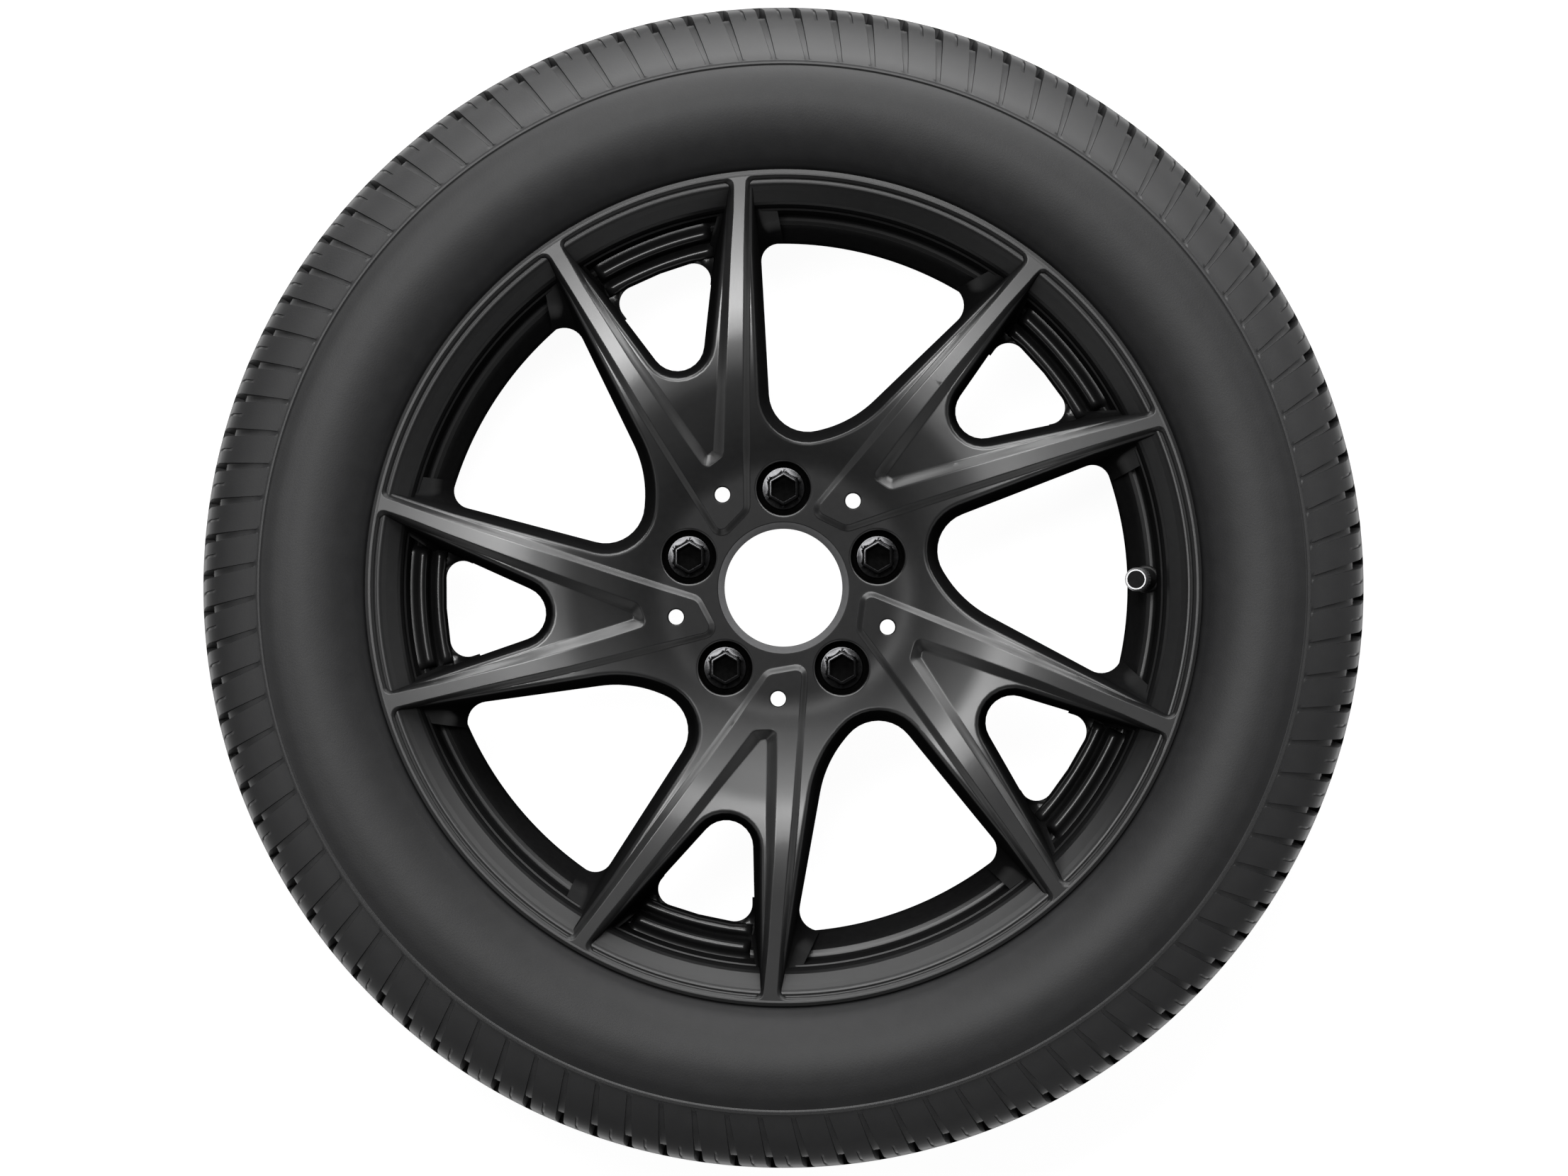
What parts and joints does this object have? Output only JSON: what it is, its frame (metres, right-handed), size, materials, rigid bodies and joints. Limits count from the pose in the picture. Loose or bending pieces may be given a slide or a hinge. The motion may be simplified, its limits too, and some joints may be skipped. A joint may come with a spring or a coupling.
{
  "type": "alloy wheel",
  "caption": "Cast alloy road wheel in satin black with Y-shaped twin spokes, a stepped lip, ball-seat bolts, a snap-in valve and a low-profile tyre.",
  "frame": {"origin": "centre of the hub mounting face, on the wheel's axis", "axes": "+Z out of the wheel's outer face, along its axis; +Y through the middle of one bolt hole; the valve lies near +X. The wheel lies flat with its outer face up"},
  "size_m": [0.6572, 0.6572, 0.214],
  "materials": {
    "alloy": "satin black lacquer",
    "tyre": "matt",
    "bolt_steel": "black oxide, satin",
    "valve_rubber": "satin",
    "valve_brass": "satin",
    "core_brass": "satin",
    "core_rubber": "matt",
    "spring_steel": "satin",
    "cap_metal": "satin",
    "cap_insert": "gloss"
  },
  "bodies": {
    "wheel": {"rim_barrel": "alloy", "hub": "alloy", "spokes": "alloy", "tyre": "tyre", "wheel_bolts": "bolt_steel", "valve_body": "valve_rubber", "valve_stem": "valve_brass", "valve_core_housing": "core_brass", "valve_core_gasket": "core_rubber", "valve_core_spring": "spring_steel"},
    "cap": {"valve_cap": "cap_metal", "valve_cap_disc": "cap_insert", "valve_cap_seal": "core_rubber"},
    "core_pin": {"valve_core_pin": "core_brass", "valve_core_seal": "core_rubber"}
  },
  "joints": [
    {"name": "cap_off", "type": "slide", "parent": "wheel", "child": "cap", "axis": [-0.1822, -0.0043, 0.9833], "range_m": [0, 0.016]},
    {"name": "pin_press", "type": "slide", "parent": "wheel", "child": "core_pin", "axis": [0.1822, 0.0043, -0.9833], "range_m": [0, 0.0015], "stiffness_N_per_m": 1500, "deforming": ["valve_core_spring"]}
  ]
}
